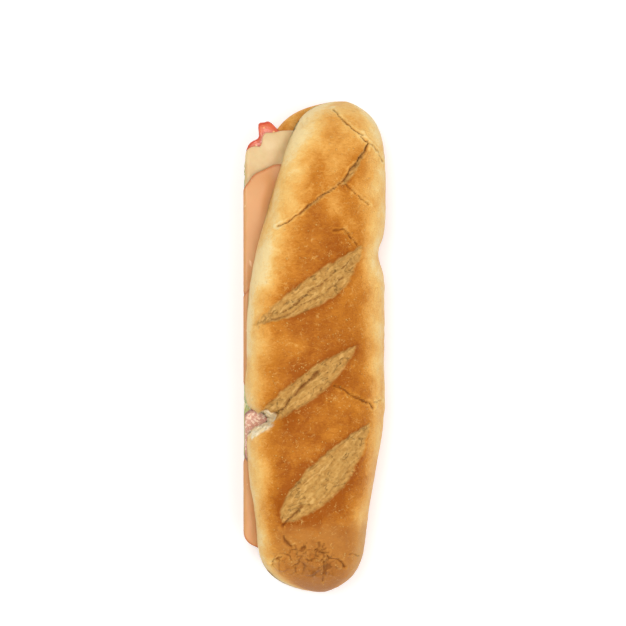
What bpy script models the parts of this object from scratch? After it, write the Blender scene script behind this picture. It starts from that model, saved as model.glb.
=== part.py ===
"""Submarine sandwich: a long scored roll, hinged along its right side, with its fillings showing at the
open left side.

The roll lies along Y on its flat base, with +Z up. Its cut runs level at CUT_HEIGHT. The crown is
lifted off the cut by the fillings, more at the open left side than at the hinge, so every filling
lies in the wedge between the two cut faces and is placed by its share of the wedge's height.
"""

import math

import bmesh
import bpy
from mathutils import Vector

MM = 0.001

# The roll
HALF_LENGTH = 144.5 * MM
CUT_HEIGHT = 23.0 * MM  # thickness of the heel, the lower half of the roll
CROWN_HEIGHT = 28.0 * MM  # thickness of the crown, the upper half
GAP_OPEN = 20.0 * MM  # height of the wedge at the open left side
GAP_HINGE = 6.0 * MM  # and at the hinge
OPEN_SIDE = -41.0 * MM
HINGE_SIDE = 41.0 * MM
HINGE_WALL = 0.22  # bread left uncut, as a share of the half width
CROWN_POWER = 2.3  # roundness of the crown's cross-section; 2 is an ellipse
HEEL_POWER = 2.7
HEEL_SINK = 1.12  # the heel's curve would reach this far below the base, which is cut flat

# The fillings, bottom to top: the share of the wedge's height each starts at, and its thickness
LETTUCE_LEVEL, LETTUCE_THICK = 0.03, 0.19
ONION_LEVEL, ONION_THICK = 0.245, 0.04
TOMATO_LEVEL, TOMATO_THICK = 0.31, 0.165
SALAMI_LEVEL, SALAMI_THICK = 0.50, 0.05
CHEESE_LEVEL, CHEESE_THICK, CHEESE_RISE = 0.575, 0.05, 0.085
HAM_LEVEL, HAM_THICK, HAM_RISE = 0.73, 0.05, 0.105
TOP_LEVEL, TOP_THICK = 0.905, 0.04  # the pepperoni, and one slice of the salami
WALL = -41.8 * MM  # the fillings were pressed flat against an upright wall here

# Resolution
ROLL_STATIONS = 46
CORNER_STEPS = 9  # steps in each quarter of the roll's cross-section
FACE_STEPS = 4  # steps across each cut face
SLICE_SEGMENTS = 26
SLICE_RINGS = (0.55, 0.88, 1.0)


def clear_scene():
    for obj in list(bpy.data.objects):
        bpy.data.objects.remove(obj, do_unlink=True)


def smooth(start, end, value):
    """0 before start, 1 after end, and a smooth rise between them."""
    share = min(1.0, max(0.0, (value - start) / (end - start)))
    return share * share * (3 - 2 * share)


def bump(centre, width, value):
    return math.exp(-(((value - centre) / width) ** 2))


def rounded_end(t, power, sharpness=0.5):
    """1 along the roll and 0 at its tips. A higher power makes a blunter tip."""
    return max(0.0, 1 - abs(t) ** power) ** sharpness


# --- The roll's outline, as functions of t = y / HALF_LENGTH, from -1 to 1


def ridge_x(t):
    """The line of the crown's highest points, which bends towards the hinge at the far end."""
    return 17.0 * MM * smooth(0.2, 1.0, t) + 4.0 * MM * smooth(0.5, 1.0, -t)


def towards_tip(t, edge, power, sharpness):
    """Draws an edge in to the ridge line at the tips."""
    return ridge_x(t) + (edge - ridge_x(t)) * rounded_end(t, power, sharpness)


def hinge_x(t):
    edge = HINGE_SIDE + 1.2 * MM * smooth(0.3, 0.8, t) - 10.0 * MM * smooth(0.2, 0.8, -t)
    edge -= 3.2 * MM * bump(0.38, 0.06, t)
    return towards_tip(t, edge, 12, 0.75)


def crown_lip_x(t):
    """The crown's left edge, which draws back at the far end and is notched where a score meets it."""
    edge = OPEN_SIDE + 1.2 * MM + 30.0 * MM * smooth(0.1, 1.15, t) + 5.2 * MM * smooth(0.4, 0.75, -t)
    edge += 11.0 * MM * bump(-0.29, 0.035, t) - 1.3 * MM * bump(-0.15, 0.06, t)
    return towards_tip(t, edge, 16 if t > 0 else 14, 0.5 if t > 0 else 0.7)


def heel_lip_x(t):
    edge = -38.3 * MM + 8.5 * MM * smooth(0.6, 0.9, t) + 4.0 * MM * smooth(0.4, 0.75, -t)
    return towards_tip(t, edge, 12 if t > 0 else 14, 0.6)


def crown_rise(t):
    return CROWN_HEIGHT * (1 - 0.08 * t * t) * rounded_end(t, 6, 0.6)


def wedge_gap(x, t):
    """Height of the wedge between the cut faces at this place."""
    across = (HINGE_SIDE - x) / (HINGE_SIDE - OPEN_SIDE)
    return (GAP_HINGE + (GAP_OPEN - GAP_HINGE) * across) * rounded_end(t, 8, 0.6)


def crown_surface(x, y):
    """Height of the crust above the point (x, y)."""
    t = y / HALF_LENGTH
    side = hinge_x(t) if x > ridge_x(t) else crown_lip_x(t)
    out = min(1.0, abs((x - ridge_x(t)) / (side - ridge_x(t))))
    dome = (1 - out**CROWN_POWER) ** (1 / CROWN_POWER)
    return CUT_HEIGHT + wedge_gap(x, t) + crown_rise(t) * dome


# --- Meshes


def quarter(power, reverse):
    """Unit superellipse quarter as (out, up) pairs, from the side to the top or back."""
    angles = [math.pi / 2 * i / CORNER_STEPS for i in range(CORNER_STEPS + 1)]
    if reverse:
        angles.reverse()
    return [(math.cos(a) ** (2 / power) if a < 1.57 else 0.0, math.sin(a) ** (2 / power)) for a in angles]


def roll_section(t):
    """The roll's cross-section as a closed list of (x, z), clockwise seen along +Y."""
    ridge, hinge = ridge_x(t), hinge_x(t)
    heel, crown = heel_lip_x(t), crown_lip_x(t)
    depth = CUT_HEIGHT * HEEL_SINK * rounded_end(t, 9)
    rise = crown_rise(t)
    inner = ridge + (hinge - ridge) * (1 - HINGE_WALL)
    points = []
    for out, up in quarter(CROWN_POWER, False):  # left edge of the crown to the ridge
        x = ridge + (crown - ridge) * out
        points.append((x, CUT_HEIGHT + wedge_gap(x, t) + rise * up))
    for out, up in quarter(CROWN_POWER, True)[1:]:  # ridge to the hinge
        x = ridge + (hinge - ridge) * out
        points.append((x, CUT_HEIGHT + wedge_gap(x, t) + rise * up))
    crease = hinge - 0.03 * (hinge - ridge)
    points.append((crease, CUT_HEIGHT + wedge_gap(hinge, t) / 2))
    for out, up in quarter(HEEL_POWER, False):  # hinge down to the base
        points.append((ridge + (hinge - ridge) * out, max(0.0, CUT_HEIGHT - depth * up)))
    for out, up in quarter(HEEL_POWER, True)[1:]:  # base to the heel's left edge
        points.append((ridge + (heel - ridge) * out, max(0.0, CUT_HEIGHT - depth * up)))
    for i in range(1, FACE_STEPS + 1):  # the heel's cut face
        points.append((heel + (inner - heel) * i / FACE_STEPS, CUT_HEIGHT))
    gap = wedge_gap(inner, t)
    points.append((inner + gap * 0.4, CUT_HEIGHT + gap / 2))
    for i in range(FACE_STEPS):  # the crown's cut face
        x = inner + (crown - inner) * i / FACE_STEPS
        points.append((x, CUT_HEIGHT + wedge_gap(x, t)))
    return points


def new_object(name, verts, faces, material):
    mesh = bpy.data.meshes.new(name)
    mesh.from_pydata([tuple(v) for v in verts], [], faces)
    tidy = bmesh.new()
    tidy.from_mesh(mesh)
    bmesh.ops.recalc_face_normals(tidy, faces=tidy.faces)
    tidy.to_mesh(mesh)
    tidy.free()
    mesh.shade_smooth()
    mesh.set_sharp_from_angle(angle=math.radians(40))
    obj = bpy.data.objects.new(name, mesh)
    obj.data.materials.append(material)
    bpy.context.scene.collection.objects.link(obj)
    return obj


def loft(sections, start_tip, end_tip):
    """Verts and faces of a closed skin through equal sections, drawn to a point at each end."""
    count = len(sections[0])
    verts = [p for section in sections for p in section] + [start_tip, end_tip]
    faces = []
    for s in range(len(sections) - 1):
        for i in range(count):
            j = (i + 1) % count
            low, high = s * count, (s + 1) * count
            faces.append((low + i, low + j, high + j, high + i))
    last = (len(sections) - 1) * count
    tip = len(sections) * count
    for i in range(count):
        j = (i + 1) % count
        faces.append((tip, j, i))
        faces.append((tip + 1, last + i, last + j))
    return verts, faces


def make_roll(material):
    sections = []
    for s in range(1, ROLL_STATIONS):
        t = math.sin(math.pi * (s / ROLL_STATIONS - 0.5))
        sections.append([(x, t * HALF_LENGTH, z) for x, z in roll_section(t)])
    tips = [(ridge_x(t), t * HALF_LENGTH, CUT_HEIGHT) for t in (-1, 1)]
    return new_object("roll", *loft(sections, *tips), material)


def score_cutter(name, start, end, half_width, depth):
    """A leaf-shaped cutter that follows the crust from start to end, both (x, y)."""
    along = Vector((end[0] - start[0], end[1] - start[1], 0))
    across = Vector((-along.y, along.x, 0)).normalized()
    stations, around, above = 12, 10, 5.0 * MM
    sections = []
    for s in range(1, stations):
        share = s / stations
        x, y = start[0] + along.x * share, start[1] + along.y * share
        leaf = math.sin(math.pi * share) ** 0.7
        level = Vector((x, y, crown_surface(x, y)))
        ring = []
        for i in range(around):
            angle = 2 * math.pi * i / around
            up = math.sin(angle)
            side = across * (half_width * leaf * math.cos(angle))
            foot = level + side
            foot.z = crown_surface(foot.x, foot.y)
            ring.append(tuple(foot + Vector((0, 0, up * (above if up > 0 else depth * leaf)))))
        sections.append(ring)
    tips = [(p[0], p[1], crown_surface(*p)) for p in (start, end)]
    cutter = new_object(name, *loft(sections, *tips), bpy.data.materials["crust"])
    cutter.hide_render = True
    cutter.display_type = "WIRE"
    return cutter


def score_roll(roll):
    """The baker's four slashes; the far one stayed nearly shut."""
    slashes = (
        ((-20, 76), (27, 119), 1.6, 2.0),
        ((-31, 19), (24, 62), 8.5, 2.6),
        ((-24, -42), (27, 2), 8.5, 2.6),
        ((-20, -97), (27, -49), 8.5, 2.6),
    )
    for n, (start, end, half_width, depth) in enumerate(slashes, 1):
        ends = [tuple(v * MM for v in p) for p in (start, end)]
        cutter = score_cutter(f"score_cutter_{n}", *ends, half_width * MM, depth * MM)
        cut = roll.modifiers.new(f"score_{n}", "BOOLEAN")
        cut.operation = "DIFFERENCE"
        cut.solver = "EXACT"
        cut.object = cutter


def filling_z(x, y, share):
    """Height of the point at this share of the wedge."""
    return CUT_HEIGHT + wedge_gap(x, y / HALF_LENGTH * 1.01) * share


def pressed(x):
    """Keeps the fillings inside the wall they were pressed against."""
    return max(x, WALL)


def slice_outline(centre, radii, power, wobble, phase):
    """Closed list of (x, y): a superellipse with an uneven edge."""
    points = []
    for i in range(SLICE_SEGMENTS):
        angle = 2 * math.pi * i / SLICE_SEGMENTS
        c, s = math.cos(angle), math.sin(angle)
        reach = (abs(c) ** power + abs(s) ** power) ** (-1 / power)
        reach *= 1 + wobble * (math.sin(3 * angle + phase) + 0.6 * math.sin(5 * angle + 2 * phase))
        points.append((pressed(centre[0] + radii[0] * reach * c), centre[1] + radii[1] * reach * s))
    return points


def make_slice(name, material, centre, radii, level, thick, rise=0.0, power=2.2, wobble=0.015, phase=0.0):
    """One slice lying in the wedge: a sheet of the given share of the wedge's height. It rises along
    +Y by the share in rise, so that the next slice can lie partly under it."""
    centre = (centre[0] * MM, centre[1] * MM)
    radii = (radii[0] * MM, radii[1] * MM)
    outline = slice_outline(centre, radii, power, wobble, phase)

    def place(x, y, share):
        tilt = rise * ((y - centre[1]) / radii[1] + 1) / 2
        return (x, y, filling_z(x, y, level + tilt + share))

    verts, faces = [], []
    for side, share in ((0, 0.0), (1, thick)):
        first = len(verts)
        verts.append(place(*centre, share))
        for ring in SLICE_RINGS:
            for x, y in outline:
                rx = centre[0] + (x - centre[0]) * ring
                ry = centre[1] + (y - centre[1]) * ring
                verts.append(place(rx, ry, share))
        for i in range(SLICE_SEGMENTS):
            j = (i + 1) % SLICE_SEGMENTS
            faces.append((first, first + 1 + i, first + 1 + j))
            for ring in range(len(SLICE_RINGS) - 1):
                a = first + 1 + ring * SLICE_SEGMENTS
                b = a + SLICE_SEGMENTS
                faces.append((a + i, b + i, b + j, a + j))
    sheet = 1 + len(SLICE_RINGS) * SLICE_SEGMENTS
    rim = sheet - SLICE_SEGMENTS
    for i in range(SLICE_SEGMENTS):
        j = (i + 1) % SLICE_SEGMENTS
        faces.append((rim + i, rim + j, rim + sheet + j, rim + sheet + i))
    return new_object(name, verts, faces, material)


def make_lettuce(material):
    """The shredded lettuce as one uneven mat over the heel."""
    rows, columns = 26, 5
    near, far, right = -126.0 * MM, 118.0 * MM, 14.0 * MM
    grid = []
    for r in range(rows + 1):
        y = near + (far - near) * r / rows
        closing = math.sqrt(max(0.0, 1 - abs((y - (near + far) / 2) / (far - near) * 2) ** 6))
        left = WALL + 2.6 * MM + 1.3 * MM * math.sin(2.1 * r) - 0.9 * MM * math.cos(0.9 * r)
        left -= 1.6 * MM * bump(-8.0 * MM, 14.0 * MM, y)
        middle = (left + right) / 2
        half = (right - left) / 2 * (0.45 + 0.55 * closing)
        grid.append([(middle - half + 2 * half * c / columns, y) for c in range(columns + 1)])
    verts, faces = [], []
    for share in (LETTUCE_LEVEL, LETTUCE_LEVEL + LETTUCE_THICK):
        verts += [(x, y, filling_z(x, y, share)) for row in grid for x, y in row]
    wide = columns + 1
    sheet = (rows + 1) * wide
    for base in (0, sheet):
        for r in range(rows):
            for c in range(columns):
                a = base + r * wide + c
                faces.append((a, a + 1, a + wide + 1, a + wide))
    border = [c for c in range(wide)]
    border += [r * wide + columns for r in range(1, rows + 1)]
    border += [rows * wide + c for c in range(columns - 1, -1, -1)]
    border += [r * wide for r in range(rows - 1, 0, -1)]
    for i, a in enumerate(border):
        b = border[(i + 1) % len(border)]
        faces.append((a, b, b + sheet, a + sheet))
    return new_object("lettuce", verts, faces, material)


def make_onion(name, material, centre, radius, sweep, width=3.6):
    """A curved sliver of an onion ring, between two angles in degrees."""
    steps = 14
    sections = []
    for i in range(steps + 1):
        angle = math.radians(sweep[0] + (sweep[1] - sweep[0]) * i / steps)
        half = width / 2 * (0.35 + 0.65 * math.sin(math.pi * i / steps) ** 0.5)
        ring = []
        for reach, share in ((-half, 0.0), (half, 0.0), (half, ONION_THICK), (-half, ONION_THICK)):
            x = pressed((centre[0] + (radius + reach) * math.cos(angle)) * MM)
            y = (centre[1] + (radius + reach) * math.sin(angle)) * MM
            ring.append((x, y, filling_z(x, y, ONION_LEVEL + share)))
        sections.append(ring)
    tips = []
    for i in (0, -1):
        tips.append(sum((Vector(p) for p in sections[i]), Vector()) / 4)
    return new_object(name, *loft(sections, *tips), material)


def new_material(name, colour, roughness):
    material = bpy.data.materials.new(name)
    material.use_nodes = True
    surface = material.node_tree.nodes["Principled BSDF"]
    surface.inputs["Base Color"].default_value = (*colour, 1)
    surface.inputs["Roughness"].default_value = roughness
    surface.inputs["Metallic"].default_value = 0.0
    return material


def make_fillings():
    lettuce = new_material("lettuce", (0.55, 0.66, 0.33), 0.45)
    onion = new_material("onion", (0.45, 0.16, 0.30), 0.4)
    tomato = new_material("tomato", (0.62, 0.10, 0.05), 0.3)
    salami = new_material("salami", (0.52, 0.20, 0.16), 0.45)
    ham = new_material("ham", (0.72, 0.38, 0.27), 0.45)
    pepperoni = new_material("pepperoni", (0.50, 0.12, 0.05), 0.4)
    cheese = new_material("cheese", (0.80, 0.66, 0.38), 0.4)

    make_lettuce(lettuce)
    slivers = (((-10, 70), 28, (120, 235)), ((-12, 0), 27, (110, 230)), ((-10, -58), 27, (115, 240)))
    for n, (centre, radius, sweep) in enumerate(slivers, 1):
        make_onion(f"onion_{n}", onion, centre, radius, sweep)

    rounds = ((-14, 98.5, 30, 28), (-12, 40, 29, 28.5), (-12, -19, 29, 28.5), (-12, -79, 29, 29))
    for n, (x, y, rx, ry) in enumerate(rounds, 1):
        make_slice(f"tomato_{n}", tomato, (x, y), (rx, ry), TOMATO_LEVEL, TOMATO_THICK, phase=n)
    rounds = ((-10, 82, 31, 31, SALAMI_LEVEL), (-10, 17, 31, 31, SALAMI_LEVEL))
    rounds += ((-20, -55.5, 23, 21, TOP_LEVEL), (-12, -98, 29, 22, SALAMI_LEVEL))
    for n, (x, y, rx, ry, level) in enumerate(rounds, 1):
        thick = TOP_THICK if level == TOP_LEVEL else SALAMI_THICK
        make_slice(f"salami_{n}", salami, (x, y), (rx, ry), level, thick, phase=2 * n)
    squares = ((-8, -78, 28, 38), (-9, -2, 28, 44), (-9, 79, 34, 47))
    for n, (x, y, rx, ry) in enumerate(squares, 1):
        make_slice(
            f"provolone_{n}", cheese, (x, y), (rx, ry), CHEESE_LEVEL, CHEESE_THICK, CHEESE_RISE, 2.8, 0.01, n
        )
    ovals = ((-12, -87, 31, 34), (-12, 4, 31, 40), (-12, 62, 31, 45))
    for n, (x, y, rx, ry) in enumerate(ovals, 1):
        make_slice(f"ham_{n}", ham, (x, y), (rx, ry), HAM_LEVEL, HAM_THICK, HAM_RISE, 2.5, 0.01, 3 * n)
    rounds = ((-12, -106, 19), (-13, -11, 22), (-13, 34, 22), (-5, 78, 22))
    for n, (x, y, radius) in enumerate(rounds, 1):
        make_slice(f"pepperoni_{n}", pepperoni, (x, y), (radius, radius), TOP_LEVEL, TOP_THICK, wobble=0.008)


def build():
    clear_scene()
    crust = new_material("crust", (0.60, 0.26, 0.05), 0.5)
    roll = make_roll(crust)
    score_roll(roll)
    make_fillings()


build()
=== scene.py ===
"""Submarine sandwich: the looks of a long scored roll, hinged along its right side, with its fillings
showing at the open left side. Lengths are in millimetres until a mesh is made."""

import math

import bpy
import numpy as np
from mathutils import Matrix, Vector


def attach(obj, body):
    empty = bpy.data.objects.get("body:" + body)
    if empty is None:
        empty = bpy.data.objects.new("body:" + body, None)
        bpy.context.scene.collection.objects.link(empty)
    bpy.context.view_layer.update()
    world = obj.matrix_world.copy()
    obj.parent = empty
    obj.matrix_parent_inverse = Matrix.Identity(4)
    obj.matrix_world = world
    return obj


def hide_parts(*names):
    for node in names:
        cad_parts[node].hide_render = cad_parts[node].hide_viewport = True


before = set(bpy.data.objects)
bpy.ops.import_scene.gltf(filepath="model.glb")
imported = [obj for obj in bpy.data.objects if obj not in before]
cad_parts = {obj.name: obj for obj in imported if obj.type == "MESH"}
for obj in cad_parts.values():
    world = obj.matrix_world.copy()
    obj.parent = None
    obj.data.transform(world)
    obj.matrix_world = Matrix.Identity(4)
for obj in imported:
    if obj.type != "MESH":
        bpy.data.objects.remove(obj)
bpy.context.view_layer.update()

MM = 0.001

# The roll, as in the CAD
HALF_LENGTH = 144.5
CUT_HEIGHT = 23.0
CROWN_HEIGHT = 28.0
GAP_OPEN = 20.0
GAP_HINGE = 6.0
OPEN_SIDE = -41.0
HINGE_SIDE = 41.0
HINGE_WALL = 0.22
CROWN_POWER = 2.3
HEEL_POWER = 2.7
HEEL_SINK = 1.12
WALL = -41.8  # the fillings were pressed against an upright wall here

# The share of the wedge's height each filling starts at, its thickness and its rise along +Y
LETTUCE = (0.03, 0.19, 0.0)
ONION = (0.245, 0.04, 0.0)
TOMATO = (0.31, 0.165, 0.0)
SALAMI = (0.50, 0.05, 0.0)
CHEESE = (0.575, 0.05, 0.085)
HAM = (0.73, 0.05, 0.105)
TOP = (0.905, 0.04, 0.0)  # the pepperoni, and one slice of the salami


# --- Numbers


def smooth(start, end, value):
    """0 before start, 1 after end, and a smooth rise between them."""
    share = np.clip((value - start) / (end - start), 0.0, 1.0)
    return share * share * (3 - 2 * share)


def bump(centre, width, value):
    return np.exp(-(((value - centre) / width) ** 2))


def lattice(cell, seed):
    """A repeatable random number from -1 to 1 for each whole-numbered cell."""
    n = cell[..., 0] * 374761393 + cell[..., 1] * 668265263 + cell[..., 2] * 2147483629 + seed * 974634777
    n = (n ^ (n >> 13)) * 1274126177
    n = (n ^ (n >> 16)) & 0xFFFFFF
    return n / 0x7FFFFF - 1.0


def noise(points, size, seed, octaves=1):
    """Smooth noise from about -1 to 1, its lumps about size across, with finer ones in each octave."""
    total, weight, reach = 0.0, 1.0, 0.0
    for octave in range(octaves):
        p = points / (size / 2**octave)
        cell = np.floor(p).astype(np.int64)
        f = p - cell
        f = f * f * f * (f * (f * 6 - 15) + 10)
        value = 0.0
        for corner in range(8):
            step = np.array([corner & 1, corner >> 1 & 1, corner >> 2])
            share = np.prod(np.where(step, f, 1 - f), axis=-1)
            value = value + share * lattice(cell + step, seed + 31 * octave)
        total = total + weight * value
        reach += weight
        weight *= 0.5
    return total / reach * 1.6


def distance_to_line(x, y, line):
    """Distance from each (x, y) to a line through the given points."""
    nearest = np.full(np.shape(x), 1e9)
    for (ax, ay), (bx, by) in zip(line, line[1:]):
        dx, dy = bx - ax, by - ay
        share = np.clip(((x - ax) * dx + (y - ay) * dy) / (dx * dx + dy * dy), 0, 1)
        nearest = np.minimum(nearest, np.hypot(x - ax - share * dx, y - ay - share * dy))
    return nearest


# --- The roll's outline, as in the CAD, as functions of t = y / HALF_LENGTH


def rounded_end(t, power, sharpness=0.5):
    return np.maximum(0.0, 1 - np.abs(t) ** power) ** sharpness


def ridge_x(t):
    return 17.0 * smooth(0.2, 1.0, t) + 4.0 * smooth(0.5, 1.0, -t)


def towards_tip(t, edge, power, sharpness):
    return ridge_x(t) + (edge - ridge_x(t)) * rounded_end(t, power, sharpness)


def hinge_x(t):
    edge = HINGE_SIDE + 1.2 * smooth(0.3, 0.8, t) - 10.0 * smooth(0.2, 0.8, -t)
    return towards_tip(t, edge - 3.2 * bump(0.38, 0.06, t), 12, 0.75)


def crown_lip_x(t):
    edge = OPEN_SIDE + 1.2 + 30.0 * smooth(0.1, 1.15, t) + 5.2 * smooth(0.4, 0.75, -t)
    edge = edge + 11.0 * bump(-0.29, 0.035, t) - 1.3 * bump(-0.15, 0.06, t)
    return towards_tip(t, edge, np.where(t > 0, 16, 14), np.where(t > 0, 0.5, 0.7))


def heel_lip_x(t):
    edge = -38.3 + 8.5 * smooth(0.6, 0.9, t) + 4.0 * smooth(0.4, 0.75, -t)
    return towards_tip(t, edge, np.where(t > 0, 12, 14), 0.6)


def crown_rise(t):
    return CROWN_HEIGHT * (1 - 0.08 * t * t) * rounded_end(t, 6, 0.6)


def wedge_gap(x, t):
    across = (HINGE_SIDE - x) / (HINGE_SIDE - OPEN_SIDE)
    return (GAP_HINGE + (GAP_OPEN - GAP_HINGE) * across) * rounded_end(t, 8, 0.6)


def filling_gap(x, y):
    """The height of the wedge that the fillings lie in, which closes a little short of the roll's tips."""
    return wedge_gap(x, y / HALF_LENGTH * 1.01)


def filling_z(x, y, share):
    return CUT_HEIGHT + filling_gap(x, y) * share


# --- Materials


class Value:
    """A shader value that adds Math nodes when it is calculated with."""

    def __init__(self, shader, socket):
        self.shader, self.socket = shader, socket

    def maths(self, operation, *terms):
        return self.shader.node("ShaderNodeMath", {"operation": operation}, *terms)

    def __add__(self, other):
        return self.maths("ADD", self, other)

    __radd__ = __add__

    def __sub__(self, other):
        return self.maths("SUBTRACT", self, other)

    def __rsub__(self, other):
        return self.maths("SUBTRACT", other, self)

    def __mul__(self, other):
        return self.maths("MULTIPLY", self, other)

    __rmul__ = __mul__

    def size(self):
        return self.maths("ABSOLUTE", self)

    def clamped(self):
        return self.maths("MINIMUM", self.maths("MAXIMUM", self, 0.0), 1.0)


class Shader:
    """One material and the nodes that make it."""

    def __init__(self, name):
        self.material = bpy.data.materials.new(name)
        self.material.use_nodes = True
        self.tree = self.material.node_tree
        self.surface = self.tree.nodes["Principled BSDF"]
        self.place = self.node("ShaderNodeTexCoord", {}, output="Object")

    def node(self, kind, settings, *values, output=0, **named):
        """Adds a node: its settings first, then the values or links of its sockets."""
        node = self.tree.nodes.new(kind)
        for key, value in settings.items():
            setattr(node, key, value)
        for key, value in [*enumerate(values), *named.items()]:
            self.feed(node.inputs[key], value)
        return Value(self, node.outputs[output])

    def feed(self, socket, value):
        if isinstance(value, Value):
            self.tree.links.new(value.socket, socket)
        elif isinstance(value, tuple) and len(value) == 3 and socket.type == "RGBA":
            socket.default_value = (*value, 1.0)
        else:
            socket.default_value = value

    def mix(self, share, a, b):
        """A colour between a and b."""
        node = self.tree.nodes.new("ShaderNodeMix")
        node.data_type = "RGBA"
        self.feed(node.inputs["Factor"], share)
        colours = [s for s in node.inputs if s.type == "RGBA"]
        self.feed(colours[0], a)
        self.feed(colours[1], b)
        return Value(self, next(s for s in node.outputs if s.type == "RGBA"))

    def painted(self, name):
        """What the mesh's own attribute of this name holds."""
        return self.node("ShaderNodeAttribute", {"attribute_name": name}, output="Fac")

    def stretched(self, x, y, z, turn=0.0):
        """The place to look a texture up, turned about the vertical and then scaled along each axis."""
        turned = self.node("ShaderNodeMapping", {}, self.place, Rotation=(0, 0, -turn))
        return self.node("ShaderNodeMapping", {}, turned, Scale=(x, y, z))

    def lumps(self, size, detail=2.0, at=None, rough=0.5, warp=0.0):
        """Noise from 0 to 1 with lumps of this size in millimetres."""
        wanted = {"Scale": 1 / (size * MM), "Detail": detail, "Roughness": rough, "Distortion": warp}
        return self.node("ShaderNodeTexNoise", {}, at or self.place, output="Fac", **wanted)

    def cells(self, size):
        """Distance to the nearest of scattered points about this far apart in millimetres."""
        return self.node("ShaderNodeTexVoronoi", {}, self.place, output="Distance", Scale=1 / (size * MM))

    def between(self, value, low, high):
        """0 where value is under low, 1 over high, smooth between."""
        settings = {"interpolation_type": "SMOOTHSTEP"}
        return self.node("ShaderNodeMapRange", settings, value, low, high)

    def ramp(self, value, stops):
        node = self.tree.nodes.new("ShaderNodeValToRGB")
        band = node.color_ramp
        while len(band.elements) < len(stops):
            band.elements.new(0.5)
        for element, (at, colour) in zip(band.elements, stops):
            element.position = at
            element.color = (*colour, 1.0)
        self.feed(node.inputs[0], value)
        return Value(self, node.outputs[0])

    def relief(self, height, depth):
        """A bump of this depth in millimetres."""
        node = self.tree.nodes.new("ShaderNodeBump")
        node.inputs["Distance"].default_value = depth * MM
        self.feed(node.inputs["Height"], height)
        return Value(self, node.outputs[0])

    def finish(self, colour, roughness, normal=None, **fixed):
        self.feed(self.surface.inputs["Base Color"], colour)
        self.feed(self.surface.inputs["Roughness"], roughness)
        if normal:
            self.feed(self.surface.inputs["Normal"], normal)
        for key, value in fixed.items():
            self.surface.inputs[key.replace("_", " ")].default_value = value
        return self.material


def tone(red, green, blue):
    """A colour given in the usual 0 to 255 steps, made linear."""
    shares = (part / 255 for part in (red, green, blue))
    return tuple(((share + 0.055) / 1.055) ** 2.4 if share > 0.04 else share / 12.92 for share in shares)


def crust_material():
    """Golden crust, browned by the painted bake, with pale crumb where it tore or was cut."""
    s = Shader("crust")
    bake, crumb, crack, cut, dull = (s.painted(n) for n in ("bake", "crumb", "crack", "cut", "dull"))
    blotches = s.lumps(8, 4, rough=0.65, warp=0.8)
    grain = s.lumps(0.9, 3, rough=0.7)
    flakes = s.lumps(1.5, 4, at=s.stretched(0.4, 1.0, 1.0), rough=0.6, warp=1.6)
    baked = bake + (blotches - 0.5) * 0.48 + (grain - 0.5) * 0.22 + (flakes - 0.5) * 0.42
    crust = s.ramp(
        baked,
        (
            (0.0, tone(246, 218, 156)),
            (0.22, tone(242, 194, 112)),
            (0.45, tone(229, 163, 76)),
            (0.7, tone(199, 122, 34)),
            (1.0, tone(160, 81, 4)),
        ),
    )
    crust = s.mix(dull * 0.65, crust, s.mix(grain, tone(174, 106, 38), tone(204, 142, 72)))
    # Pale blister specks: partly paler crust and partly painted highlights on the blisters' tops, mixed in as a
    # light colour.
    blisters_and_glints = 1 - s.between(s.cells(2.3), 0.1, 0.24)
    rare = s.between(s.lumps(5, 2), 0.5, 0.6)
    crust = s.mix(blisters_and_glints * rare * 0.6, crust, tone(248, 200, 116))
    flecks = s.between(s.lumps(2.2, 4, rough=0.75, warp=1.0), 0.55, 0.64)
    flecks = flecks * s.between(s.lumps(7, 2), 0.38, 0.6)
    crust = s.mix(flecks * 0.4, crust, tone(242, 192, 110))
    spots = s.lumps(2.2, 4, rough=0.6)
    along_slash = s.stretched(0.4, 1.3, 1.0, turn=0.7)
    strands = s.lumps(2.4, 4, at=along_slash, warp=0.6)
    fibres, ridges = s.between(strands, 0.4, 0.68), 1 - s.between(strands, 0.3, 0.46)
    tears = 1 - s.between((s.lumps(5, 3, at=along_slash, warp=1.0) - 0.5).size(), 0.004, 0.022)
    tears = tears * s.between(s.lumps(7, 2), 0.5, 0.58)
    pores = (1 - s.between(s.cells(1.7), 0.1, 0.3)) * s.between(s.lumps(6, 2), 0.42, 0.6)
    loaf = s.mix(s.between(spots, 0.3, 0.7), tone(188, 136, 68), tone(210, 162, 90))
    loaf = s.mix(fibres * 0.3, loaf, tone(168, 116, 54))
    loaf = s.mix(ridges * 0.4, loaf, tone(232, 188, 118))
    loaf = s.mix(pores * 0.35, loaf, tone(160, 110, 58))
    loaf = s.mix(tears * 0.28, loaf, tone(140, 88, 40))
    soft = s.mix(s.between(spots, 0.3, 0.65), tone(240, 214, 160), tone(251, 237, 206))
    soft = s.mix(pores * 0.4, soft, tone(208, 170, 112))
    colour = s.mix(crumb, crust, loaf)
    colour = s.mix(cut, colour, soft)
    # Cracks and the crumpled tip's fissures: darker crust with painted shade in their narrow grooves, mixed in
    # as a near-black brown.
    colour = s.mix(crack, colour, tone(112, 56, 12))
    open_crumb = (crumb + cut).clamped()
    roughness = 0.44 + open_crumb * 0.4 + (grain - 0.5) * 0.2
    height = (grain * 0.4 + flakes * 0.8 + blisters_and_glints * rare * 0.6 + flecks * 0.08) * (1 - open_crumb)
    height = height + (spots * 0.9 - pores * 0.5 - tears * 0.8 - fibres * 0.6) * open_crumb
    warm = (*tone(255, 230, 184), 1.0)
    return s.finish(colour, roughness, s.relief(height, 0.6), Specular_IOR_Level=0.25, Specular_Tint=warm)


def cheese_material():
    s = Shader("provolone")
    mottle = s.lumps(14, 3)
    fine = s.lumps(1.2, 2)
    colour = s.mix(s.between(mottle, 0.3, 0.7), tone(224, 194, 142), tone(212, 176, 120))
    return s.finish(colour, 0.36 + fine * 0.15, s.relief(s.lumps(2.5, 3), 0.12), Subsurface_Weight=0.15,
                    Subsurface_Scale=0.003)


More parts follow.
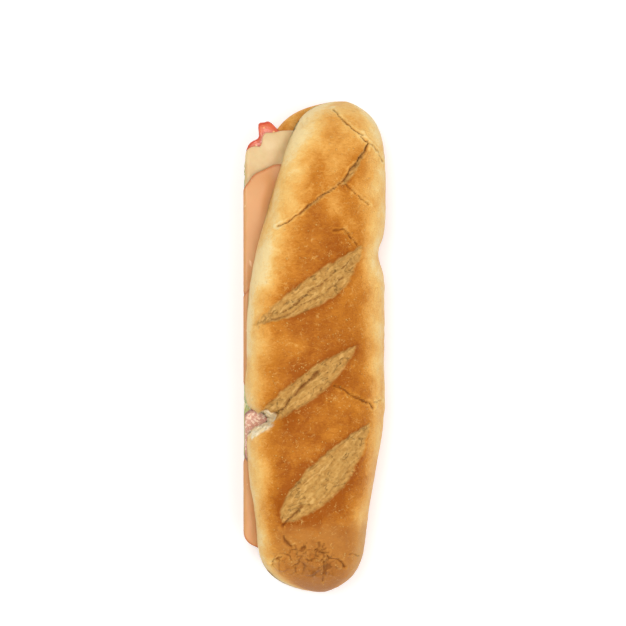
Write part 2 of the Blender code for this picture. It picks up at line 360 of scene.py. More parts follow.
def meat_material(name, lean, deep, fat, rim, grain_size, fat_share, rough):
    """Sliced cured meat: lean flecked with fat, and a coloured rim painted on the mesh."""
    s = Shader(name)
    marbling = s.lumps(grain_size, 3, rough=0.65, warp=0.8)
    colour = s.mix(s.lumps(grain_size * 3, 2), lean, deep)
    colour = s.mix(s.between(marbling, 1 - fat_share, 1.06 - fat_share), colour, fat)
    colour = s.mix(s.painted("rim") * (0.6 + s.lumps(2, 2) * 0.5), colour, rim)
    return s.finish(colour, rough + s.lumps(3, 2) * 0.15, s.relief(marbling, 0.12), Subsurface_Weight=0.1,
                    Subsurface_Scale=0.002)


def tomato_material():
    s = Shader("tomato")
    flesh = s.mix(s.lumps(4, 3), tone(212, 88, 50), tone(226, 118, 72))
    seeds = 1 - s.between(s.cells(3.4), 0.12, 0.26)
    colour = s.mix(seeds * 0.9, flesh, tone(246, 196, 112))
    colour = s.mix(s.painted("rim") * 0.8, colour, tone(208, 66, 38))
    return s.finish(colour, 0.25, s.relief(s.lumps(1.5, 3), 0.25), Subsurface_Weight=0.2,
                    Subsurface_Scale=0.003)


def onion_material():
    s = Shader("onion")
    colour = s.mix(s.painted("rim"), tone(238, 222, 226), tone(130, 44, 92))
    return s.finish(colour, 0.28, s.relief(s.lumps(1.0, 2), 0.08), Subsurface_Weight=0.2,
                    Subsurface_Scale=0.002)


def lettuce_material():
    s = Shader("lettuce")
    green = s.painted("green")
    colour = s.mix(green, tone(236, 230, 184), tone(172, 184, 84))
    colour = s.mix(s.between(s.lumps(2.5, 3), 0.45, 0.75) * 0.5, colour, tone(212, 208, 132))
    return s.finish(colour, 0.3, s.relief(s.lumps(0.9, 3), 0.2), Subsurface_Weight=0.15,
                    Subsurface_Scale=0.002)


# --- Meshes


def skin(name, rows, tips, painted, material, nodes):
    """A closed smooth mesh through equal rings of points, drawn to a point at each end. painted holds
    one number for each point of the rings, under each attribute's name."""
    if volume_sign(rows) < 0:
        rows = rows[:, ::-1]
        painted = {key: values[:, ::-1] for key, values in painted.items()}
    count = rows.shape[1]
    verts = np.concatenate([rows.reshape(-1, 3), np.array(tips)]) * MM
    i = np.arange(rows.shape[0] - 1)[:, None] * count
    j = np.arange(count)[None, :]
    k = (j + 1) % count
    quads = np.stack([i + j, i + k, i + count + k, i + count + j], axis=-1).reshape(-1, 4)
    end, last = rows.shape[0] * count, (rows.shape[0] - 1) * count
    fans = [(end, b, a) for a, b in zip(j[0], k[0])]
    fans += [(end + 1, last + a, last + b) for a, b in zip(j[0], k[0])]
    faces = quads[:, ::-1].tolist() + [tuple(int(corner) for corner in fan[::-1]) for fan in fans]
    mesh = bpy.data.meshes.new(name)
    mesh.from_pydata(verts.tolist(), [], faces)
    mesh.shade_smooth()
    for key, values in painted.items():
        layer = mesh.attributes.new(key, "FLOAT", "POINT")
        ends = [values[0].mean(), values[-1].mean()]
        layer.data.foreach_set("value", np.concatenate([values.reshape(-1), ends]).astype(np.float32))
    return piece(name, mesh, material, nodes)


def piece(name, mesh, material, nodes):
    obj = bpy.data.objects.new(name, mesh)
    mesh.materials.append(material)
    bpy.context.scene.collection.objects.link(obj)
    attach(obj, "root")
    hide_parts(*nodes)
    return obj


def volume_sign(rows):
    """Positive when the rings run so that skin's faces point out."""
    centre = rows.mean(axis=(0, 1))
    a = rows[:-1, :] - centre
    b = np.roll(rows, -1, axis=1)[:-1] - centre
    c = rows[1:, :] - centre
    return np.sum(a * np.cross(c, b))


# --- The roll


# Open slashes: start, end, how far they gape above and below the line between them, each side's lean
# (over 1 when it gapes most past its middle), and depth. The far slash stayed nearly shut, and is the
# last two.
GAPES = (
    ((-36, 12), (28, 59), 3.6, 14.0, 0.9, 1.3, 1.7),
    ((-39, -47), (25, 1), 6.5, 9.0, 1.0, 1.0, 2.0),
    ((-18, -101), (32, -44), 10.5, 12.4, 0.6, 0.95, 1.7),
    ((-13, 74), (18, 99), 0.4, 1.5, 1.0, 1.0, 0.5),
    ((14, 93), (32, 120), 0.3, 3.6, 1.0, 0.8, 1.0),
)

# Tears and cracks: the points they pass through, their width and depth
CRACKS = (
    (((-22, 70), (-15, 73.5), (-7, 79), (3.5, 87), (10, 91.5), (17, 97)), 0.45, 1.2),
    (((17, 97), (21, 102.5), (26, 108.5), (30, 114), (32, 119.5), (27, 123)), 0.55, 1.6),
    (((32, 119), (38, 113), (40, 108)), 0.4, 0.6),
    (((17, 95), (21, 91.5), (26, 87), (32, 82.5)), 0.4, 0.7),
    (((10, 139), (14, 135), (16.5, 132), (20.5, 128.5), (25.5, 125), (28, 124)), 0.4, 1.0),
    (((11, 67), (16.5, 67.5), (21, 63.5), (25, 58)), 0.4, 0.9),
    (((-18, 21), (-9.5, 26), (-4, 32), (3.5, 35.5), (11.5, 43), (16.5, 46), (22, 51)), 0.4, 0.9),
    (((-26, 16), (-17, 18), (-8, 24), (1, 28), (9, 34), (17, 41)), 0.35, 0.6),
    (((4, -13), (-5, -20.5), (-10, -25), (-14.5, -30), (-20.5, -37.5), (-28, -43)), 0.75, 2.2),
    (((11.5, -22.5), (17.5, -25), (22, -28), (27.5, -30.5), (32, -32), (33.5, -35)), 0.55, 1.2),
    (((32, -32), (38.5, -31)), 0.35, 0.4),
    (((-8, -91.5), (-11, -96), (-16.5, -100), (-19, -103)), 0.55, 1.1),
    (((-18.5, -108), (-17, -112), (-14.5, -115.5)), 0.6, 1.0),
    (((-5, -115.5), (-9.5, -118)), 0.45, 0.8),
    (((-20.5, -121.5), (-23, -123.5)), 0.45, 0.6),
    (((-5, -123), (-1, -125)), 0.45, 0.8),
    (((0.5, -118), (7, -119), (8.5, -122), (13.5, -123), (17.5, -128)), 0.5, 1.0),
    (((4, -121.5), (5.5, -130), (4.5, -138)), 0.45, 0.8),
    (((20.5, -120), (25.5, -121.5)), 0.4, 0.5),
)


def lifted_plates(x, y):
    """The near tip's crumpled crust: how far its tilted plates stand out, and the fissures between."""
    rng = np.random.default_rng(21)
    count = 110
    centres = rng.uniform((-29, -142), (25, -106), (count, 2))
    tilts = rng.normal(0, 0.2, (count, 2))
    lifts, opened = rng.uniform(-0.8, 0.7, count), rng.uniform(0, 1, count)
    height, fissure = np.zeros_like(x), np.zeros_like(x)
    near = np.abs(y + 124) < 18
    dx, dy = x[near][:, None] - centres[:, 0], y[near][:, None] - centres[:, 1]
    away = np.hypot(dx, dy)
    own = away.argmin(axis=1)
    first, second = np.partition(away, 1, axis=1)[:, :2].T
    pick = (np.arange(len(own)), own)
    height[near] = lifts[own] + tilts[own, 0] * dx[pick] + tilts[own, 1] * dy[pick]
    fissure[near] = np.exp(-(((second - first) / 0.55) ** 2)) * smooth(0.35, 0.9, opened[own])
    return height, fissure


def crumpled_tip():
    """Short cracks where the near tip's crust crumpled."""
    rng = np.random.default_rng(12)
    cracks = []
    for _ in range(16):
        x, y = rng.normal(-7, 12), rng.normal(-121, 5)
        heading, length = rng.uniform(0, math.pi), rng.uniform(2.0, 6.5)
        line = [(x, y)]
        for _ in range(2):
            x, y = x + math.cos(heading) * length / 2, y + math.sin(heading) * length / 2
            heading += rng.normal(0, 0.7)
            line.append((x, y))
        cracks.append((tuple(line), rng.uniform(0.3, 0.5), rng.uniform(0.3, 0.8)))
    return tuple(cracks)


def gape(x, y, start, end, above, below, upper_lean, lower_lean):
    """How deep inside an open slash each point is, in millimetres, and negative outside."""
    (sx, sy), (ex, ey) = start, end
    length = math.hypot(ex - sx, ey - sy)
    ux, uy = (ex - sx) / length, (ey - sy) / length
    along = np.clip(((x - sx) * ux + (y - sy) * uy) / length, 0.001, 0.999)
    beyond = np.abs(((x - sx) * ux + (y - sy) * uy) / length - along) * length
    off = (y - sy) * ux - (x - sx) * uy
    top = above * np.sin(np.pi * along**upper_lean) ** 0.75 - off
    bottom = below * np.sin(np.pi * along**lower_lean) ** 0.75 + off
    return np.minimum(top, bottom) - beyond


def arc(power, steps, falling):
    """A superellipse quarter as (out, up), from its side to its top, or back when falling."""
    angle = np.linspace(0, math.pi / 2, steps + 1)
    out, up = np.cos(angle) ** (2 / power), np.sin(angle) ** (2 / power)
    out[-1] = 0.0
    return (out[::-1], up[::-1]) if falling else (out, up)


def roll_rings():
    """How far along the roll each ring is, from -1 to 1, its points, and what part of the roll each lies on."""
    u = np.linspace(-1, 1, 446)[1:-1, None]
    t = 0.5 * u + 0.5 * np.sin(math.pi / 2 * u)
    ridge, hinge, heel, crown = ridge_x(t), hinge_x(t), heel_lip_x(t), crown_lip_x(t)
    rise = crown_rise(t)
    depth = CUT_HEIGHT * HEEL_SINK * rounded_end(t, 9)
    inner = ridge + (hinge - ridge) * (1 - HINGE_WALL)
    runs = []

    def run(name, x, z):
        x, z = np.broadcast_arrays(x, z)
        runs.append((name, x, z))

    out, up = arc(CROWN_POWER, 70, False)
    x = ridge + (crown - ridge) * out
    run("crown", x, CUT_HEIGHT + wedge_gap(x, t) + rise * up)
    out, up = arc(CROWN_POWER, 62, True)
    x = ridge + (hinge - ridge) * out[1:]
    run("crown", x, CUT_HEIGHT + wedge_gap(x, t) + rise * up[1:])
    run("crease", hinge - 0.03 * (hinge - ridge), CUT_HEIGHT + wedge_gap(hinge, t) / 2)
    out, up = arc(HEEL_POWER, 20, False)
    run("heel", ridge + (hinge - ridge) * out, np.maximum(0.0, CUT_HEIGHT - depth * up))
    out, up = arc(HEEL_POWER, 22, True)
    run("heel", ridge + (heel - ridge) * out[1:], np.maximum(0.0, CUT_HEIGHT - depth * up[1:]))
    share = np.linspace(0, 1, 17)[None, :]
    x = heel + (inner - heel) * share[:, 1:]
    run("heel_face", x, CUT_HEIGHT + 0 * x)
    gap = wedge_gap(inner, t)
    run("inner", inner + np.minimum(gap * 0.4, (hinge - inner) * 0.4), CUT_HEIGHT + gap / 2)
    x = inner + (crown - inner) * share[:, :-1]
    run("crown_face", x, CUT_HEIGHT + wedge_gap(x, t))
    rows = np.concatenate([np.stack([x, t * HALF_LENGTH + 0 * x, z], axis=-1) for _, x, z in runs], axis=1)
    labels = np.concatenate([[name] * x.shape[1] for name, x, _ in runs])
    return t, rows, labels


def ring_normals(rows):
    along = np.gradient(rows, axis=0)
    around = np.roll(rows, -1, axis=1) - np.roll(rows, 1, axis=1)
    normal = np.cross(around, along)
    normal /= np.linalg.norm(normal, axis=-1, keepdims=True) + 1e-9
    centre = rows.mean(axis=1, keepdims=True)
    if np.sum(normal * (rows - centre)) < 0:
        normal = -normal
    return normal


def open_slashes(rows, x, y, on_crown, push):
    """Cuts the slashes into push, and gives the crumb they bare and how near each point is to one."""
    crumb, near_slash = np.zeros_like(x), np.zeros_like(x)
    for n, (*outline, depth) in enumerate(GAPES):
        inside = gape(x, y, *outline)
        mask = smooth(-0.3, 0.9, inside) * on_crown
        floor = smooth(-0.2, 2.2, inside) * depth
        swell = smooth(1.0, 7.0, inside) * 0.8
        relief = noise(rows, 4.0, 20 + n, 3) * 0.5 + noise(rows, 1.5, 30 + n) * 0.18
        push = push + on_crown * (swell - floor + mask * relief)
        lip = np.where(inside < 0, np.exp(inside / 2.4), 0) * smooth(-1.2, 0.0, inside)
        push = push + on_crown * lip * 0.55
        crumb = np.maximum(crumb, mask)
        nearness = np.exp(np.minimum(inside, 0) / 8.0) + 0.5 * np.exp(np.minimum(inside, 0) / 1.6)
        near_slash = np.maximum(near_slash, np.where(inside < 0.5, nearness, 0) * min(1.0, depth))
    return push, crumb, near_slash


def crack_crust(rows, x, y, on_crown, push):
    """Sinks the cracks and the crumpled tip into push, and gives how dark each crack is painted (darker crust
    with painted shade in its narrow groove) and how pale the skin is that stretched beside it."""
    crack, pale = np.zeros_like(x), np.zeros_like(x)
    uneven = 1 + 0.55 * noise(rows, 3.5, 7, 2)
    for line, width, depth in CRACKS + crumpled_tip():
        away = distance_to_line(x, y, line) / uneven
        groove = bump(0, 1.3 * width, away) * on_crown
        push = push - groove * depth + on_crown * bump(2.4 * width, 1.3 * width, away) * 0.25
        # How dark each crack is painted: darker crust plus painted shade in its groove.
        crack = np.maximum(crack, bump(0, 0.75 * width, away) * on_crown * min(1.0, 0.35 + depth * 0.6))
        pale = np.maximum(pale, bump(2.6 * width, 1.2 * width, away) * on_crown)
    height, fissure = lifted_plates(x, y)
    spread = np.hypot((rows[..., 0] + 6) / 21, (rows[..., 1] + 123.5) / 10) + noise(rows, 7, 44, 2) * 0.2
    rumple = smooth(1.15, 0.75, spread) * on_crown
    push = push + rumple * (height + noise(rows, 9, 43) * 0.5)
    # The fissures between the crumpled plates are painted dark as well, as painted shade between the plates.
    return push, np.maximum(crack, rumple * fissure * 0.7), pale


def torn_open(rows, on_crown):
    """1 where the near slash's left end tore open down to the soft crumb, and 0 away from it."""
    x, y = rows[..., 0] + 32, rows[..., 1] + 44.5
    along, off = x * 0.67 + y * 0.74, y * 0.67 - x * 0.74
    torn = np.exp(-((along / 11.5) ** 2 + (off / 6.0) ** 2)) * on_crown
    return smooth(0.38, 0.62, torn + noise(rows, 5, 51, 3) * 0.2)


def brown_crown(rows, t, left, near_slash, pale):
    """How far the crown's crust is baked: brown over the top, paler down its sides and at the far tip."""
    x, y = rows[..., 0], rows[..., 1]
    right = (hinge_x(t) - x) / (hinge_x(t) - ridge_x(t) + 1e-6)
    upper = smooth(-0.1, 0.35, t)
    flank = 0.66 * (1 - smooth(0.05, 0.42, right)) + 0.15 * upper * (1 - smooth(0.2, 0.8, right))
    browned = smooth(-0.12 + 0.17 * upper, 0.55 + 0.2 * upper, left) * (1 - flank)
    bake = 0.05 + 0.09 * smooth(50, 90, y) + (0.72 - 0.22 * t) * browned + 0.17 * near_slash * browned
    bake = bake + browned * (0.1 * bump(58, 15, y) - 0.1 * smooth(68, 86, y))
    blotches = (noise(rows, 24, 71, 2) * 0.12, noise(rows, 10, 75) * 0.08)
    return bake + blotches[0] + blotches[1] - 0.24 * smooth(95, 132, y) - 0.2 * pale


def make_roll():
    t, rows, labels = roll_rings()
    x, y, z = (rows[..., axis] for axis in range(3))
    normal = ring_normals(rows)
    crown, heel = labels == "crown", (labels == "heel") | (labels == "crease")
    on_crown, on_heel, on_face = (chosen * np.ones_like(x) for chosen in (crown, heel, ~(crown | heel)))

    wobble_x = x + noise(rows, 6, 3, 2) * 0.6 + noise(rows, 2.0, 4) * 0.28
    wobble_y = y + noise(rows, 6, 5, 2) * 0.6 + noise(rows, 2.0, 6) * 0.28
    push = noise(rows, 26, 11, 2) * 0.7 + noise(rows, 7, 12, 2) * 0.22 + noise(rows, 2.2, 13) * 0.06
    push, crumb, near_slash = open_slashes(rows, wobble_x, wobble_y, on_crown, push)
    push, crack, pale = crack_crust(rows, wobble_x, wobble_y, on_crown, push)
    torn = torn_open(rows, on_crown)
    push = push + torn * noise(rows, 2.5, 52, 2) * 0.7

    # At the far tip the heel's crust rolls over its cut edge
    edge = x - heel_lip_x(t)
    rolled = smooth(0.76, 0.84, t) * smooth(15, 11, edge + noise(rows, 4, 62, 2)) * (labels == "heel_face")
    swell = rolled * 3.2 * np.sin(np.pi * np.clip(edge / 15, 0.0, 1.0)) ** 0.7
    push = np.where(on_face > 0, swell - 0.35 - noise(rows, 3.0, 61, 3) * 0.35, push)
    push = np.where(on_heel > 0, (push * 0.6 - 0.3) * smooth(2.0, 5.0, z), push)
    push = np.where(on_crown > 0, np.minimum(push - 0.45, 0.6), push)
    moved = rows + normal * (push * rounded_end(t, 30, 1.0))[..., None]
    moved[..., 2] = np.maximum(moved[..., 2], 0.0)

    left = (x - crown_lip_x(t)) / (ridge_x(t) - crown_lip_x(t) + 1e-6)
    bake = brown_crown(rows, t, left, near_slash, pale)
    bake = np.where(on_heel > 0, 0.45 + 0.35 * smooth(9, 1, z) + noise(rows, 16, 72, 2) * 0.15, bake)
    bake = np.where(rolled > 0.01, 0.42 + noise(rows, 9, 73, 2) * 0.2, bake)
    soft = on_face * (1 - smooth(0.1, 0.6, rolled)) * smooth(0.995, 0.97, np.abs(t))
    painted = {
        "dull": smooth(-96, -112, y + noise(rows, 9, 74, 2) * 6) * on_crown * smooth(0.1, 0.5, left),
        "bake": bake,
        "crumb": np.clip(crumb * (1 - torn), 0, 1),
        # crack: the dark crack and fissure lines, darker crust with painted shade in their grooves.
        "crack": np.clip(crack * (1 - 0.8 * torn), 0, 1) * 0.9,
        "cut": np.maximum(soft, torn),
    }
    tips = [(float(ridge_x(np.array(end))), end * HALF_LENGTH * 0.9985, CUT_HEIGHT) for end in (-1.0, 1.0)]
    return skin("roll_loaf", moved, tips, painted, crust_material(), ["roll"])


# --- The fillings


def ripple(x, y):
    """The shared rise and fall of the layers where the crown doesn't hold them down."""
    free = smooth(-1.0, 6.0, crown_lip_x(y / HALF_LENGTH) - x)
    points = np.stack([x, y, 0 * x], axis=-1)
    return free * (noise(points, 17, 81, 2) * 0.9 + 0.5) + noise(points, 12, 82) * 0.12


def make_slice(name, material, centre, radii, layer, power=2.2, wobble=0.015, phase=0.0, wall=WALL,
               hang=0.0, lobes=(), thick=None, ruffle=0.0, rim_width=0.06):
    """A slice in its layer of the wedge. What reaches past wall hangs down it, up to hang. Each lobe is
    an angle in degrees, its width, and how far it stands out as a share of the radius."""
    segments, rings, fold = 190, 34, 1.6
    level, depth, rise = layer
    angle = np.linspace(0, 2 * math.pi, segments, endpoint=False)
    c, s = np.cos(angle), np.sin(angle)
    reach = (np.abs(c) ** power + np.abs(s) ** power) ** (-1 / power)
    reach *= 1 + wobble * (np.sin(3 * angle + phase) + 0.6 * np.sin(5 * angle + 2 * phase))
    edge = np.stack([c * 4, s * 4, 0 * c + phase * 7], axis=-1)
    reach *= 1 + 0.02 * noise(edge, 1.6, 90) + 0.006 * noise(edge, 0.4, 91)
    for at, width, height in lobes:
        reach *= 1 + height * bump(math.radians(at), math.radians(width), angle)
    fraction = 1 - (1 - np.linspace(0.03, 1, rings)) ** 1.6
    around_rim = np.linspace(0, math.pi, 7)[1:-1]
    half = (thick or depth * 15.0) / 2
    soft = half / min(radii)
    profile = [(f * (1 - soft), 1.0) for f in fraction]
    profile += [(1 - soft + soft * math.sin(a), math.cos(a)) for a in around_rim]
    profile += [(f * (1 - soft), -1.0) for f in fraction[::-1]]
    profile = np.array(profile)
    f, side = profile[:, 0][:, None], profile[:, 1][:, None]
    x = centre[0] + radii[0] * reach * c * f
    y = centre[1] + radii[1] * reach * s * f
    tilt = rise * ((y - centre[1]) / radii[1] + 1) / 2
    gap = filling_gap(np.maximum(x, wall), y)
    middle = CUT_HEIGHT + gap * (level + tilt + depth / 2) + ripple(x, y)
    points = np.stack([x, y, 0 * x], axis=-1)
    middle = middle + ruffle * noise(points, 9, 95 + int(phase)) * smooth(0.5, 1.0, f)
    past = np.maximum(0.0, wall + fold + half - x)
    limit = hang * (0.75 + 0.35 * noise(np.stack([0 * y, y, 0 * y + phase], axis=-1), 14, 97))
    past = np.minimum(past, fold * math.pi / 2 + np.maximum(limit, 0.0))
    bend = np.minimum(past / fold, math.pi / 2)
    x = np.where(past > 0, wall + fold + half - fold * np.sin(bend), x)
    drop = fold * (1 - np.cos(bend)) + np.maximum(0.0, past - fold * math.pi / 2)
    thinner = np.minimum(half, gap * depth * 0.8)
    z = middle - drop + side * thinner * np.cos(bend)
    x = x - side * thinner * np.sin(bend)
    rows = np.stack([x, y + 0 * x, z], axis=-1)
    painted = {"rim": smooth(1 - rim_width, 1 - rim_width * 0.3, f) + 0 * x}
    tips = [rows[0].mean(axis=0), rows[-1].mean(axis=0)]
    return skin(f"{name}_slice", rows, tips, painted, material, [name])


def make_slices():
    cheese = cheese_material()
    ham = meat_material(
        "ham", tone(220, 163, 104), tone(206, 142, 86), tone(236, 192, 142), tone(192, 114, 58),
        9, 0.36, 0.36
    )
    salami = meat_material(
        "salami", tone(216, 164, 140), tone(202, 142, 120), tone(238, 210, 186), tone(134, 84, 74),
        1.8, 0.5, 0.4
    )
    pepperoni = meat_material(
        "pepperoni", tone(208, 98, 54), tone(186, 74, 40), tone(236, 160, 96), tone(150, 56, 30),
        1.6, 0.42, 0.35
    )
    tomato = tomato_material()
    rounds = ((-14, 98.5, 30, 28), (-12, 40, 29, 28.5), (-12, -19, 29, 28.5), (-12, -79, 29, 29))
    for n, (x, y, rx, ry) in enumerate(rounds, 1):
        lobes = ((110, 5, 0.25), (118.5, 5, 0.27), (138, 10, 0.06)) if n == 1 else ()
        make_slice(f"tomato_{n}", tomato, (x, y), (rx, ry), TOMATO, phase=n, wall=-40.6,
                   lobes=lobes, thick=2.9, ruffle=0.5 if n == 1 else 0.0)
    rounds = ((-10, 82, 31, 31, SALAMI), (-10, 17, 31, 31, SALAMI))
    rounds += ((-20, -55.5, 23, 21, TOP), (-12, -98, 29, 22, SALAMI))
    for n, (x, y, rx, ry, layer) in enumerate(rounds, 1):
        lobes = ((140, 24, 0.2),) if n == 3 else ()
        make_slice(f"salami_{n}", salami, (x, y), (rx, ry), layer, phase=2 * n, wall=-41.0,
                   hang=0.6, lobes=lobes, thick=0.8, rim_width=0.09)
    squares = ((-8, -78, 30, 38), (-9, -2, 31, 44), (-9, 79, 36, 47))
    for n, (x, y, rx, ry) in enumerate(squares, 1):
        lobes = ((120, 4, 0.03), (128, 4, -0.07), (140, 8, 0.05)) if n == 3 else ()
        make_slice(f"provolone_{n}", cheese, (x, y), (rx, ry), CHEESE, 2.8, 0.01, n,
                   wall=-40.9, hang=2.6, lobes=lobes, thick=1.3)
    ovals = ((-12, -87, 35, 34), (-12, 4, 36, 40), (-12, 62, 36, 45))
    for n, (x, y, rx, ry) in enumerate(ovals, 1):
        make_slice(f"ham_{n}", ham, (x, y), (rx, ry), HAM, 2.5, 0.01, 3 * n, wall=-41.8, hang=5.0,
                   thick=0.95, rim_width=0.04)
    rounds = ((-12, -106, 19), (-13, -11, 22), (-13, 34, 22), (-5, 78, 22))
    for n, (x, y, radius) in enumerate(rounds, 1):
        make_slice(f"pepperoni_{n}", pepperoni, (x, y), (radius, radius), TOP, wobble=0.008,
                   phase=n, thick=0.7)


def make_onions():
    material = onion_material()
    slivers = (((-10, 70), 28, (120, 235)), ((-12, 0), 27, (110, 230)), ((-10, -58), 27, (115, 240)))
    for n, (centre, radius, sweep) in enumerate(slivers, 1):
        angle = np.radians(np.linspace(sweep[0], sweep[1], 60))[:, None]
        share = np.linspace(0.02, 0.98, 60)[:, None]
        ring = np.linspace(0, 2 * math.pi, 14, endpoint=False)[None, :]
        half = 1.5 * (0.35 + 0.65 * np.sin(np.pi * share) ** 0.5)
        out = radius + half * np.cos(ring)
        x = np.maximum(centre[0] + out * np.cos(angle), -41.2)
        y = centre[1] + out * np.sin(angle)
        level, depth, _ = ONION
        z = filling_z(x, y, level + depth / 2) + ripple(x, y) + 0.42 * np.sin(ring)
        rows = np.stack([x, y, z], axis=-1)
        painted = {"rim": smooth(0.2, 0.9, np.cos(ring)) + 0 * x}
        tips = [rows[0].mean(axis=0), rows[-1].mean(axis=0)]
        skin(f"onion_{n}_sliver", rows, tips, painted, material, [f"onion_{n}"])


class LeafHeap:
    """The lettuce as it is piled up: its points, its faces and how green each point is."""

    def __init__(self):
        self.points, self.faces, self.greens = [], [], []

    def add_strip(self, path, width, thick, twist, green):
        """A thin curled strip of leaf along a path."""
        steps = len(path)
        along = np.gradient(path, axis=0)
        along /= np.linalg.norm(along, axis=1, keepdims=True)
        side = np.cross(along, np.array([0.0, 0.0, 1.0]))
        side /= np.linalg.norm(side, axis=1, keepdims=True) + 1e-9
        lift = np.cross(side, along)
        turn = twist * np.linspace(-1, 1, steps)[:, None]
        across = side * np.cos(turn) + lift * np.sin(turn)
        off = np.cross(across, along)
        taper = (0.35 + 0.65 * np.sin(np.linspace(0.12, 3.0, steps)) ** 0.6)[:, None]
        lifted = 0.18 * width
        first = len(self.points)
        for k in range(steps):
            for a, b in ((-1, -1), (1, -1), (1, 1), (-1, 1)):
                point = path[k] + across[k] * a * width / 2 * taper[k] + off[k] * (b * thick / 2 + lifted)
                point[0] = max(point[0], WALL + 0.1 * (b + 1))
                self.points.append(point)
                self.greens.append(green)
        for k in range(steps - 1):
            for e in range(4):
                i, j = first + 4 * k + e, first + 4 * k + (e + 1) % 4
                self.faces.append((i, j, j + 4, i + 4))
        self.faces.append((first + 3, first + 2, first + 1, first))
        last = first + 4 * (steps - 1)
        self.faces.append((last, last + 1, last + 2, last + 3))

    def add_mat(self, start, end, right, level, depth):
        """The mat of packed leaf under the shreds."""
        first, rows, columns = len(self.points), 120, 26
        y = np.linspace(start, end, rows + 1)[:, None]
        closing = np.sqrt(np.maximum(0.0, 1 - np.abs((y + 0.5) / 115) ** 6))
        left = -38.2 + noise(np.stack([0 * y, y, 0 * y], axis=-1), 8, 15, 2) * 0.8
        across = np.linspace(0, 1, columns + 1)[None, :] - 0.5
        x = left + (right - left) * (0.5 + across * (0.45 + 0.55 * closing))
        y = y + 0 * x
        under = np.stack([x, y, filling_z(x, y, level + 0.02)], axis=-1)
        top = np.stack([x, y, filling_z(x, y, level + depth * 0.82)], axis=-1)
        top[..., 2] -= 0.35 + 0.35 * noise(top, 3, 17, 2)
        for sheet in (under, top):
            self.points += list(sheet.reshape(-1, 3))
            self.greens += [0.15] * sheet[..., 0].size
        wide, above = columns + 1, (rows + 1) * (columns + 1)
        for base, order in ((first, -1), (first + above, 1)):
            for r in range(rows):
                for c in range(columns):
                    a = base + r * wide + c
                    self.faces.append((a, a + 1, a + wide + 1, a + wide)[::order])
        border = list(range(wide)) + [r * wide + columns for r in range(1, rows + 1)]
        border += [rows * wide + c for c in range(columns - 1, -1, -1)]
        border += [r * wide for r in range(rows - 1, 0, -1)]
        for a, b in zip(border, border[1:] + border[:1]):
            self.faces.append((first + a, first + b, first + b + above, first + a + above))


def shred_path(rng, n, level, depth):
    """Where one shred lies. Three in four lie near the open side, mostly along the roll."""
    outer = n % 4 > 0
    y0 = rng.uniform(-106, 100) if outer else rng.uniform(-112, 112)
    x0 = rng.uniform(-40, -33) if outer else rng.uniform(-34, 8)
    length = rng.uniform(10, 32)
    heading = rng.normal(math.pi / 2, 0.45) if outer else rng.uniform(0, math.pi)
    s = np.linspace(-0.5, 0.5, 11)
    bow = rng.normal(0, 0.22) * length
    bow = bow * (s * s - 0.08) + rng.uniform(0.2, 0.9) * np.sin(s * rng.uniform(8, 16) + n)
    x = x0 + s * length * math.cos(heading) - bow * math.sin(heading)
    y = y0 + s * length * math.sin(heading) + bow * math.cos(heading)
    x = np.minimum(x, 14)
    y = np.clip(y, -115 + rng.uniform(0, 6), 108)
    share = level + depth * np.clip(rng.uniform(0.15, 0.95) + 0.18 * np.sin(s * 4 + n), 0.1, 0.98)
    z = filling_z(x, y, share)
    outside = np.maximum(0.0, heel_lip_x(y / HALF_LENGTH) - 0.6 - x)
    z = z - np.minimum(outside, 3.0) * rng.uniform(0.0, 0.7)
    limit = -41.4 + rng.uniform(0, 1.6)
    x = np.where(x < limit, limit + 0.6 * np.sin((x - limit) * 0.4) ** 2, x)
    return np.stack([x, y, z], axis=-1)


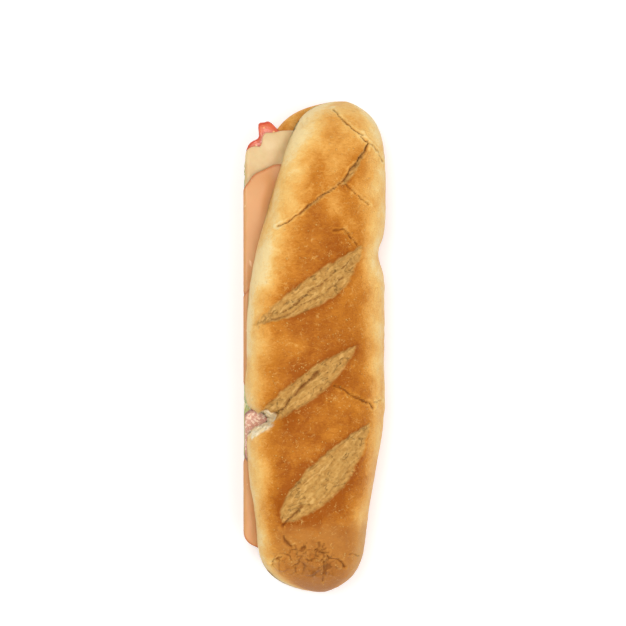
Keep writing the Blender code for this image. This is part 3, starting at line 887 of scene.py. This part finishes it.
def make_lettuce():
    """A core mat, and shreds of leaf lying on it and over its edges, all in one piece."""
    rng = np.random.default_rng(7)
    heap = LeafHeap()
    level, depth, _ = LETTUCE
    for n in range(520):
        path = shred_path(rng, n, level, depth)
        shortest_step = np.linalg.norm(np.diff(path, axis=0), axis=1).min()
        if shortest_step >= 0.3:
            heap.add_strip(path, rng.uniform(1.8, 4.6), 0.34, rng.normal(0, 0.7), rng.beta(0.9, 1.5))
    heap.add_mat(-115, 114, 12.0, level, depth)
    mesh = bpy.data.meshes.new("lettuce_shreds")
    mesh.from_pydata((np.array(heap.points) * MM).tolist(), [], heap.faces)
    mesh.shade_smooth()
    layer = mesh.attributes.new("green", "FLOAT", "POINT")
    layer.data.foreach_set("value", np.array(heap.greens, dtype=np.float32))
    return piece("lettuce_shreds", mesh, lettuce_material(), ["lettuce"])


# --- Camera, floor and light


def make_camera():
    """Looks straight down from far off, and sees view_width across at this level above the floor."""
    level, distance, view_width = 0.04, 1.6, 0.3645
    camera = bpy.data.cameras.new("camera")
    camera.sensor_width = 36
    camera.lens = camera.sensor_width * distance / view_width
    obj = bpy.data.objects.new("camera", camera)
    obj.location = (-0.0012, 0.0198, distance + level)
    bpy.context.scene.collection.objects.link(obj)
    bpy.context.scene.camera = obj


def make_floor():
    mesh = bpy.data.meshes.new("floor")
    far = 3
    mesh.from_pydata([(-far, -far, 0), (far, -far, 0), (far, far, 0), (-far, far, 0)], [], [(0, 1, 2, 3)])
    obj = bpy.data.objects.new("floor", mesh)
    s = Shader("floor")
    seen = s.node("ShaderNodeLightPath", {}, output="Is Camera Ray")
    s.feed(s.surface.inputs["Emission Color"], seen * 0.2)
    mesh.materials.append(s.finish(tone(253, 253, 254), 0.9, Emission_Strength=1.0))
    bpy.context.scene.collection.objects.link(obj)


def area_light(name, location, size, power):
    light = bpy.data.lights.new(name, "AREA")
    light.shape = "DISK"
    light.size = size
    light.energy = power
    obj = bpy.data.objects.new(name, light)
    obj.location = location
    obj.rotation_euler = (-Vector(location)).to_track_quat("-Z", "Y").to_euler()
    bpy.context.scene.collection.objects.link(obj)


def make_light():
    world = bpy.data.worlds.new("studio")
    bpy.context.scene.world = world
    world.use_nodes = True
    world.node_tree.nodes["Background"].inputs["Color"].default_value = (1, 1, 1, 1)
    world.node_tree.nodes["Background"].inputs["Strength"].default_value = 0.5
    area_light("key", (-0.35, 0.3, 1.6), 0.8, 11.4)
    area_light("fill", (0.6, -0.3, 1.5), 1.0, 9.4)
    bpy.context.scene.view_settings.view_transform = "Standard"


make_roll()
make_slices()
make_onions()
make_lettuce()
make_camera()
make_floor()
make_light()
